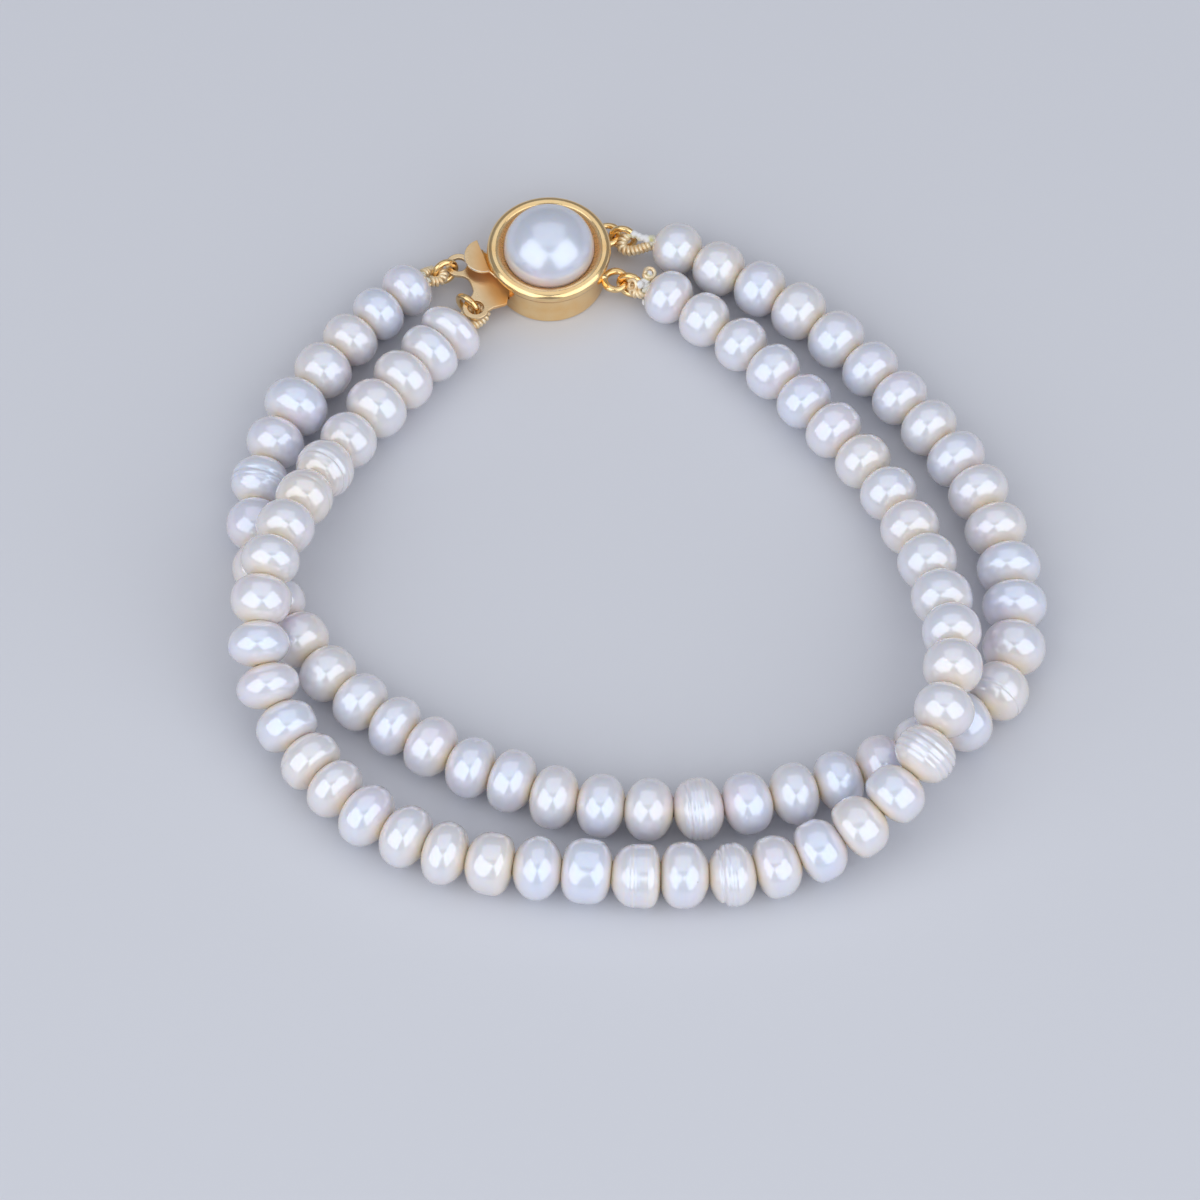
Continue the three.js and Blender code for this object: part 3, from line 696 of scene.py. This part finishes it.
def claspCase():
    case = asObject("claspCase", turnedPart(caseSection(), sides=160))
    inside = clasp["boxRadius"] - clasp["wall"]
    cavity = turnedPart([[0, clasp["floor"]], [inside, clasp["floor"]], [inside, clasp["cavityTop"]],
                         [0, clasp["cavityTop"]]], sides=96)
    cutAway(case, asObject("cavity", cavity))
    half = caseForm["slotHalf"]
    slotBlock = blockPart((caseForm["slotIn"], -half, caseForm["slotLow"]),
                          (caseForm["slotOut"], half, caseForm["rimLow"] - 0.02),
                          caseForm["tongueTurn"], claspMiddle)
    cutAway(case, asObject("slot", slotBlock))
    smoothBelow(case, 38)
    settlePiece(case, caseGold, replaced=("clasp_box",))
    loops = []
    for middle, outward in loopMiddles():
        aside = np.cross(up, outward)
        path = ringPath(middle, outward, aside, clasp["loopRadius"])
        angle = np.linspace(0, 2 * np.pi, len(path), endpoint=False)
        swell = clasp["loopWire"] * (1 + 0.10 * np.cos(angle * 3))
        loops.append(tubePart(path, swell, sides=18, closed=True))
        reaches = np.linspace(*clasp["lug"], len(clasp["lugWire"]))
        lug = np.stack([middle - outward * reach for reach in reaches])
        loops.append(tubePart(lug, clasp["lugWire"], sides=16))
    addPiece("solderedLoops", joinParts(loops), ringGold)


claspCase()
print("clasp case turned")


# Half pearl: a dome widest just above its foot
dome = {"radius": 4.1, "foot": 3.78, "waist": 4.3, "rise": 3.8, "power": 2.06}


def halfPearl():
    # superellipse about the waist, r = R cos^(2/p) t, z = waist + H sin^(2/p) t, tucked in below
    turn = np.linspace(0, np.pi / 2, 44)[:-1]
    r = dome["radius"] * np.cos(turn) ** (2 / dome["power"])
    z = dome["waist"] + dome["rise"] * np.sin(turn) ** (2 / dome["power"])
    section = np.vstack([[[0, dome["foot"]], [dome["radius"] - 0.12, dome["foot"]],
                          [dome["radius"] - 0.05, dome["foot"] + 0.2]],
                         np.stack([r, z], axis=-1), [[0, dome["waist"] + dome["rise"]]]])
    addPiece("halfPearl", turnedPart(section, sides=128), halfPearlSkin,
             replaced=("half_pearl",))


halfPearl()
print("half pearl domed")


# Tongue: a sheet with two eyes and a folded, sprung leaf with a thumb tab
tongueForm = {"turn": caseForm["tongueTurn"], "sheet": 0.4, "bottom": 1.6, "eyeOut": 7.8,
              "eyeAside": 2.46, "eyeRadius": 1.2, "eyeHole": 0.68, "halfWidth": 2.95, "neck": 2.15,
              "shoulder": 5.1, "plateEnd": 7.42, "fold": -3.0, "leafMiddle": 2.8, "leafSheet": 0.3,
              "leafNear": 0.8, "leafAway": -2.2, "bendOut": 4.9, "bendReach": 0.85, "bendNear": -0.25,
              "bendAway": -2.7, "tabOut": 5.6, "tabAside": -1.95, "tabHalf": 1.78, "tabReach": 1.75,
              "tabMiddle": 3.0, "round": 0.07, "tabRound": 0.05}


def tonguePoint(out, aside, height=0.0):
    # from the tongue's own frame, which points out of the box, to the bracelet's
    angle = math.radians(tongueForm["turn"])
    out, aside = np.asarray(out, dtype=float), np.asarray(aside, dtype=float)
    return np.stack([claspMiddle[0] + out * math.cos(angle) - aside * math.sin(angle),
                     claspMiddle[1] + out * math.sin(angle) + aside * math.cos(angle),
                     np.broadcast_to(height, out.shape)], axis=-1)


def sheetPiece(name, outlines, bottom, thickness, rounding):
    # flat outlines (the first is the rim, the rest are holes) filled, thickened and rounded
    curve = bpy.data.curves.new(name, "CURVE")
    curve.dimensions = "2D"
    curve.fill_mode = "BOTH"
    curve.extrude = (thickness / 2 - rounding) * mm
    curve.bevel_depth = rounding * mm
    curve.bevel_resolution = 3
    curve.offset = -rounding * mm
    for outline in outlines:
        spline = curve.splines.new("POLY")
        spline.points.add(len(outline) - 1)
        flat = tonguePoint(outline[:, 0], outline[:, 1]) * mm
        flat = np.concatenate([flat, np.ones((len(flat), 1))], axis=1)
        spline.points.foreach_set("co", flat.ravel())
        spline.use_cyclic_u = True
    shape = linked(name + "Curve", curve)
    mesh = finishedMesh(shape)
    bpy.data.objects.remove(shape)
    corners = np.zeros(len(mesh.vertices) * 3)
    mesh.vertices.foreach_get("co", corners)
    corners = corners.reshape(-1, 3) + np.array([0, 0, (bottom + thickness / 2) * mm])
    mesh.vertices.foreach_set("co", corners.ravel())
    piece = linked(name, mesh)
    smoothBelow(piece, 30)
    return piece


def circleOutline(out, aside, radius, startDegrees=0.0, endDegrees=360.0, count=48):
    whole = abs(endDegrees - startDegrees) >= 360
    angle = np.radians(np.linspace(startDegrees, endDegrees, count, endpoint=not whole))
    return np.stack([out + radius * np.cos(angle), aside + radius * np.sin(angle)], axis=-1)


def tonguePlate():
    form = tongueForm
    half, end, shoulder = form["halfWidth"], form["plateEnd"], form["shoulder"]
    side = np.vstack([
        [[form["fold"], -1.9], [shoulder - 0.5, -form["neck"]], [shoulder - 0.3, -half + 0.45],
         [shoulder - 0.1, -half + 0.06], [shoulder + 0.08, -half], [6.3, -half]],
        circleOutline(form["eyeOut"], -form["eyeAside"], form["eyeRadius"], -146, 78, 30),
        [[end + 0.28, -1.05], [end + 0.06, -0.75], [end, -0.35]]])
    outline = np.vstack([side, side[::-1] * [1, -1]])  # the other side is its mirror image
    holes = [circleOutline(form["eyeOut"], side * form["eyeAside"], form["eyeHole"] + form["round"] / 2)
             for side in (1, -1)]
    plate = sheetPiece("tonguePlate", [outline, *holes], form["bottom"], form["sheet"], form["round"])
    settlePiece(plate, tongueGold, replaced=("clasp_tongue",))


def foldUpright():
    # the tongue's sheet turns up inside the case: a half circle of sheet seen from its side
    form = tongueForm
    turn = np.radians(np.linspace(-90, 0, 10))
    middle = np.stack([form["fold"] - 0.1 - 0.3 * np.cos(turn), 2.1 + 0.3 * np.sin(turn)], axis=-1)
    return sheetPart(np.vstack([[[form["fold"] + 0.2, 1.8]], middle]), 0.35, -1.8, 1.8)


def sheetPart(middle, thickness, away, near, across=9):
    # a sheet of one thickness whose middle line is bent in the (out, height) plane and whose side
    # edges are given for each of its points: a closed loop of corners round each cross line
    middle = np.asarray(middle, dtype=float)
    away = np.broadcast_to(away, len(middle))[:, None]
    near = np.broadcast_to(near, len(middle))[:, None]
    step = unit(np.gradient(middle, axis=0))
    square = np.stack([-step[:, 1], step[:, 0]], axis=-1)
    share = np.linspace(0, 1, across)
    loop = np.concatenate([share, share[::-1]])
    side = np.concatenate([np.ones(across), -np.ones(across)])
    inset = np.where((loop == 0) | (loop == 1), 0.62, 1.0)
    lift = side * inset * thickness / 2
    out = middle[:, :1] + square[:, :1] * lift
    height = middle[:, 1:] + square[:, 1:] * lift
    aside = away + (near - away) * loop[None, :]
    points = tonguePoint(out.ravel(), aside.ravel(), height.ravel())
    poles = tonguePoint(middle[[0, -1], 0], ((away + near) / 2)[[0, -1], 0], middle[[0, -1], 1])
    return closedEnds(points, poles, 2 * across)


def brightCut(piece):
    # the faces that don't lie flat are the sheet's cut edge, given a near-white metal colour
    piece.data.materials.append(cutGold)
    normals = np.zeros(len(piece.data.polygons) * 3)
    piece.data.polygons.foreach_get("normal", normals)
    upright = np.abs(normals.reshape(-1, 3)[:, 2]) < 0.9
    piece.data.polygons.foreach_set("material_index", upright.astype(np.int32))


def thumbLeaf():
    form = tongueForm
    bend = np.linspace(0, 1, 14)
    smooth = bend * bend * (3 - 2 * bend)
    straight = np.linspace(form["fold"] - 0.3, form["bendOut"], 16)[:-1]
    out = np.concatenate([straight, form["bendOut"] + form["bendReach"] * bend])
    rise = np.concatenate([np.zeros(len(straight)), smooth])
    height = form["leafMiddle"] + (form["tabMiddle"] - form["leafMiddle"]) * rise
    near = form["leafNear"] + (form["bendNear"] - form["leafNear"]) * rise
    away = form["leafAway"] + (form["bendAway"] - form["leafAway"]) * rise
    leaf = sheetPart(np.stack([out, height], axis=-1), form["leafSheet"], away, near)
    moon = np.radians(np.linspace(-90, 90, 44))
    tab = np.stack([form["tabOut"] + form["tabReach"] * np.cos(moon),
                    form["tabAside"] + form["tabHalf"] * np.sin(moon)], axis=-1)
    tabPiece = sheetPiece("thumbTab", [tab], form["tabMiddle"] - form["leafSheet"] / 2,
                          form["leafSheet"], form["tabRound"])
    settlePiece(tabPiece, tongueGold, body=tabBody, replaced=("tongue_leaf",))
    brightCut(tabPiece)
    leafPiece = addPiece("tongueLeaf", leaf, leafGoldPaintedShade, body=tabBody)
    smoothBelow(leafPiece, 30)
    brightCut(leafPiece)


tonguePlate()
smoothBelow(addPiece("tongueFold", foldUpright(), tongueGold), 30)
thumbLeaf()
print("tongue cut")


# Jump rings and the bullion loops that tie the strands to them
linkForm = {"ringRadius": 1.05, "ringWire": 0.30, "ringReach": 1.42, "bullionTurn": 0.8,
            "bullionClose": 0.46, "bullionTaper": 1.2, "endGap": 0.5, "coil": 0.31, "wire": 0.19,
            "pitch": 0.37, "core": 0.17, "thread": 0.2, "bow": 0.12}


def coilPart(path, radius, wire, pitch, sides=9, perTurn=20):
    # a helix round the path, p + r (cos t n + sin t b), with a round wire carried along it
    dense, length = resample(path, max(int(40 * len(path)), 200))
    turns = length / pitch
    count = int(turns * perTurn)
    middle, length = resample(dense, count)
    tangent, first, second = carriedFrames(middle)
    t = np.linspace(0, turns * 2 * np.pi, count)[:, None]
    radial = np.cos(t) * first + np.sin(t) * second
    centre = middle + radius * radial
    forward = unit(np.gradient(centre, axis=0))
    other = np.cross(forward, radial)
    return closedEnds(roundSections(centre, wire, radial, other, sides), centre[[0, -1]], sides)


def splinePath(points, count=80):
    shares = np.linspace(0, 1, count)
    return np.array([smoothRoute(points, share) for share in shares])


slackRoute = [(1.60, 33.10, 2.35), (0.95, 33.16, 2.45), (0.35, 33.42, 2.45), (-0.15, 33.66, 2.30),
              (-0.62, 33.66, 2.05), (-1.00, 33.36, 1.85), (-1.14, 32.94, 1.65), (-0.98, 32.54, 1.55),
              (-0.45, 32.32, 1.60), (0.45, 32.40, 1.75), (1.45, 32.66, 2.00)]


def linkPieces(place, middle, outward, upward, route, hole, bare=0.0):
    # hole: the mouth of the first pearl's drill hole, where both ends of the thread go in
    # bare: the share of the thread, from its away end, that its coil has slipped off
    ring = ringPath(middle, outward, upward, linkForm["ringRadius"])
    addPiece("jumpRing_" + place, tubePart(ring, linkForm["ringWire"], sides=18, closed=True), ringGold,
             replaced=("jump_ring_" + place,))
    path = splinePath(route)
    covered = path[int(bare * len(path)):]
    coil = coilPart(covered, linkForm["coil"], linkForm["wire"], linkForm["pitch"])
    addPiece("bullion_wire_" + place, coil, bullionGold, replaced=("bullion_" + place,))
    lead = [tubePart(path, linkForm["core"], sides=8)]
    bow = up * linkForm["bow"] * np.sin(np.linspace(0, np.pi, 12))[:, None]
    for end in (path[0], path[-1]):
        reach = end + (hole - end) * np.linspace(0, 1, 12)[:, None] + bow
        lead.append(tubePart(reach, linkForm["thread"] * np.linspace(1.25, 0.8, 12), sides=10))
    addPiece("bullion_thread_" + place, joinParts(lead), silk)
    if bare:
        loose, length = resample(path[:int(bare * len(path)) + 4], 40)
        swell = 0.30 + 0.05 * np.sin(np.linspace(0, 11, 40)) + 0.03 * np.sin(np.linspace(1, 29, 40))
        addPiece("glued_leg_" + place, tubePart(loose, swell, sides=14), gluedSilk)


def pulledLink(place, hole, middles, tilt, bare=0.0, slack=None):
    # ring pulled straight from its hole to the strand, thread loop round the ring's far side
    face = middles[0] + (middles[0] - middles[1]) / 2
    pull = np.array([face[0] - hole[0], face[1] - hole[1], 0.0])
    outward = unit(pull)
    upward = turnAbout(up, outward, tilt)
    across = np.cross(outward, upward)
    form = linkForm
    farSide = form["ringReach"] + form["ringRadius"]
    legEnd = np.linalg.norm(pull) - form["endGap"]
    close = min((legEnd - farSide) / form["bullionTaper"], 1.0)
    spread = form["bullionTurn"] + (form["bullionClose"] - form["bullionTurn"]) * close
    rise = (face[2] - hole[2]) * 0.6

    def at(out, aside, lift):
        return hole + outward * out + across * aside + up * lift

    bend = [at(farSide - form["bullionTurn"] * math.cos(math.radians(d)),
               form["bullionTurn"] * math.sin(math.radians(d)), 0) for d in (-60, -30, 0, 30, 60)]
    route = [at(legEnd, -spread, rise), at(farSide, -form["bullionTurn"], 0), *bend,
             at(farSide, form["bullionTurn"], 0), at(legEnd, spread, rise)]
    linkPieces(place, hole + outward * form["ringReach"], outward, upward, slack or route,
               face + (middles[0] - face) * 0.06, bare)


hangForm = {"outwardTurn": 140, "towardTurn": 232, "ringReach": 0.95, "ringRest": 0.05, "loopHeight": 1.02,
            "loopAside": -0.06}


def hangingLink(place, hole, middles):
    # ring through the near eye, thread loop under the plate
    form = {**linkForm, **hangForm}
    outward, toward = level(form["outwardTurn"]), level(form["towardTurn"])
    middle = hole + outward * form["ringReach"]
    middle[2] = form["ringRadius"] + form["ringWire"] + form["ringRest"]
    low, limb, turn = form["loopHeight"], form["loopAside"], form["bullionTurn"]

    def at(out, ahead, height):
        point = hole + outward * out + toward * ahead
        point[2] = height
        return point

    bend = [at(limb - turn * math.sin(math.radians(d)), -turn * math.cos(math.radians(d)), low)
            for d in (-60, -20, 20, 60)]
    route = [at(0.5, 1.5, low + 0.1), at(limb + turn, 0.2, low), *bend, at(limb - turn, 0.2, low),
             at(-0.6, 1.5, low + 0.1)]
    linkPieces(place, middle, outward, up, route, middles[0] + (middles[0] - middles[1]) * 0.46)


def eyeMiddle(aside):
    form = tongueForm
    return tonguePoint(form["eyeOut"], aside, form["bottom"] + form["sheet"] / 2)


def knotPart(middle, radius, seed, stretch=(1.0, 1.0, 1.0)):
    # a sphere r (1 + a cos(3 u) sin(5 v + c) + ...) that looks like a small wound knot
    random = np.random.default_rng(seed)
    v = np.linspace(0, np.pi, 18)[1:-1][:, None]
    u = np.linspace(0, 2 * np.pi, 24, endpoint=False)[None, :]
    bumps = sum(0.09 * np.cos(k * u + random.uniform(0, 6.3)) * np.sin(k * v + random.uniform(0, 6.3))
                for k in (2, 3, 5))
    r = radius * (1 + bumps * np.sin(v))
    scaled = np.array(stretch)
    points = np.stack([r * np.sin(v) * np.cos(u), r * np.sin(v) * np.sin(u), -r * np.cos(v)], axis=-1)
    poles = np.array([[0, 0, -radius], [0, 0, radius]])
    return closedEnds(points * scaled + middle, poles * scaled + middle, u.size)


# Each knot: its place, radius and stretch. Each stub of coil: its two ends.
looseForm = {
    "knots": [([1.35, 33.05, 2.40], 0.44, (1.3, 0.9, 0.8)), ([0.72, 33.16, 2.45], 0.38, (1.3, 0.8, 0.8)),
              ([0.50, 28.05, 2.50], 0.42, (1.0, 0.9, 1.0)), ([0.98, 28.42, 2.45], 0.38, (1.2, 0.9, 0.9)),
              ([0.95, 27.10, 1.15], 0.33, (0.9, 0.9, 1.1)), ([1.10, 27.95, 2.2], 0.34, (1.2, 0.9, 1.0)),
              ([1.34, 29.0, 2.72], 0.36, (1.0, 1.0, 1.2))],
    "stubs": [([1.30, 29.02, 2.45], [1.44, 28.98, 3.15]), ([0.10, 28.30, 2.05], [-0.25, 28.05, 2.50])],
    "knotSeed": 40, "arch": 0.05, "coil": 0.46, "wire": 0.17, "pitch": 0.31,
}


def looseEnds():
    # at the right the thread shows: glued knots, and short stubs of coil left standing by them
    form = looseForm
    parts = [knotPart(np.array(place), radius, form["knotSeed"] + index, stretch)
             for index, (place, radius, stretch) in enumerate(form["knots"])]
    addPiece("threadKnots", joinParts(parts), gluedSilk)
    coils = []
    for foot, tip in np.array(form["stubs"]):
        bent = splinePath([foot, (foot + tip) / 2 + up * form["arch"], tip], 30)
        coils.append(coilPart(bent, form["coil"], form["wire"], form["pitch"]))
    addPiece("coilStubs", joinParts(coils), bullionGold)


awayLoop, nearLoop = [middle for middle, outward in loopMiddles()]
pulledLink("left_away", eyeMiddle(-tongueForm["eyeAside"]), underMiddles[:2], 14)
hangingLink("left_near", eyeMiddle(tongueForm["eyeAside"]), overMiddles[:2])
pulledLink("right_away", awayLoop, underMiddles[:-3:-1], -15, bare=0.38, slack=slackRoute)
pulledLink("right_near", nearLoop, overMiddles[:-3:-1], -15, bare=0.36)
looseEnds()
print("links and bullion wound")


# Stage, light and camera
studio = {"floorSize": 3.0, "floor": (0.64, 0.64, 0.68, 1), "world": (0.62, 0.65, 0.72, 1),
          "worldStrength": 0.44, "elevation": 58.5, "distance": 0.7345, "lens": 249.0, "sensor": 36.0}
# Each softbox: its place, width, height, watts and colour
softboxes = {"leftWall": ((-0.50, -0.40, 0.44), 1.0, 0.86, 3.7, (0.92, 0.965, 1.0)),
             "rightWall": ((0.50, -0.40, 0.44), 1.0, 0.86, 3.7, (0.91, 0.96, 1.0)),
             "ceiling": ((0.0, 0.22, 1.0), 1.3, 1.15, 2.7, (0.95, 0.965, 1.0))}


def stageFloor():
    half = studio["floorSize"] / 2
    corners = [(-half, -half, 0), (half, -half, 0), (half, half, 0), (-half, half, 0)]
    mesh = bpy.data.meshes.new("floor")
    mesh.from_pydata(corners, [], [(0, 1, 2, 3)])
    floor = linked("floor", mesh)
    finish = endFinish(*startFinish("paleFloor"), {"Base Color": studio["floor"], "Roughness": 0.6})
    mesh.materials.append(finish)


def aimed(thing, place, target):
    direction = unit(np.asarray(target, dtype=float) - np.asarray(place, dtype=float))
    elevation = math.asin(direction[2])
    azimuth = math.atan2(direction[0], direction[1])
    thing.location = place
    thing.rotation_euler = (math.pi / 2 + elevation, 0, -azimuth)


def softbox(name, place, width, height, watts, colour):
    light = bpy.data.lights.new(name, "AREA")
    light.shape = "RECTANGLE"
    light.size = width
    light.size_y = height
    light.energy = watts
    light.color = colour
    aimed(linked(name, light), place, (0, 0, 0))


def studioLight():
    for name, values in softboxes.items():
        softbox(name, *values)
    world = bpy.data.worlds.new("studio")
    world.use_nodes = True
    bpy.context.scene.world = world
    background = world.node_tree.nodes["Background"]
    background.inputs[0].default_value = studio["world"]
    background.inputs[1].default_value = studio["worldStrength"]


def camera():
    lens = bpy.data.cameras.new("camera")
    lens.lens = studio["lens"]
    lens.sensor_width = studio["sensor"]
    lens.clip_start = 0.01
    lens.clip_end = 20.0
    angle = math.radians(studio["elevation"])
    target = np.array([shift[0], shift[1], 0.0]) * mm
    place = target + studio["distance"] * np.array([0.0, -math.cos(angle), math.sin(angle)])
    eye = linked("camera", lens)
    aimed(eye, place, target)
    bpy.context.scene.camera = eye


stageFloor()
studioLight()
camera()
bpy.context.scene.view_settings.view_transform = "Standard"
print("studio set")
